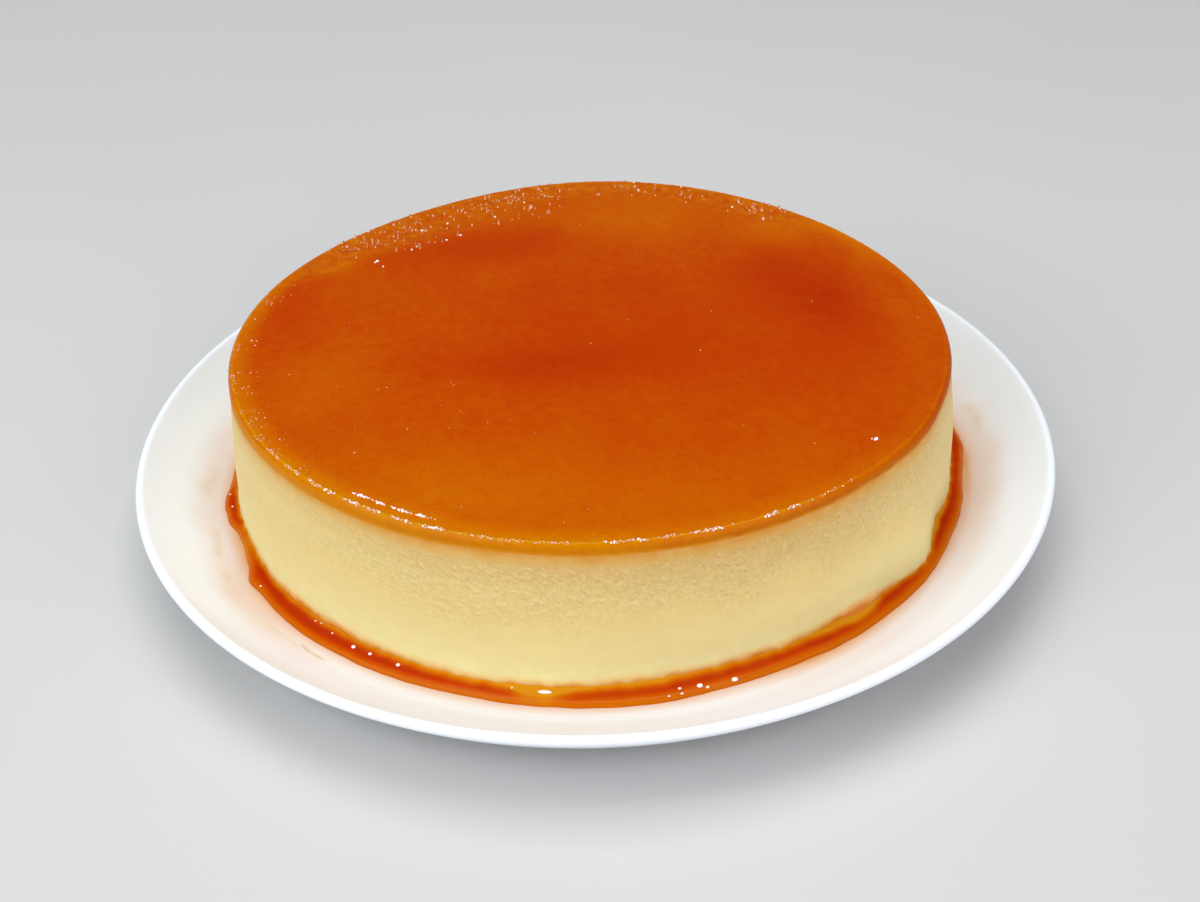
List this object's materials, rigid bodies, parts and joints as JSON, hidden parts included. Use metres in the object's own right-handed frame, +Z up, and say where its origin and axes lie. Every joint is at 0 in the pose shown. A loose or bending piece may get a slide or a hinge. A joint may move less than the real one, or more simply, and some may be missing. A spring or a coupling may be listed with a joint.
{
  "type": "creme caramel flan on a plate",
  "caption": "Round baked custard with an amber caramel top, turned out in its syrup on a white rimless dinner plate.",
  "frame": {"origin": "centre of the plate's foot ring, on the surface that the plate stands on", "axes": "+Z up along the plate's turning axis, from the foot ring to the caramel top; -Y is the front"},
  "size_m": [0.265, 0.265, 0.054],
  "materials": {
    "white_glaze": "satin gloss glaze",
    "baked_custard": "moist, finely pitted",
    "caramel": "wet gloss, amber",
    "syrup": "wet gloss, dark amber"
  },
  "bodies": {
    "root": {"plate": "white_glaze", "custard": "baked_custard", "caramel_top": "caramel", "caramel_pool": "syrup"}
  },
  "joints": []
}
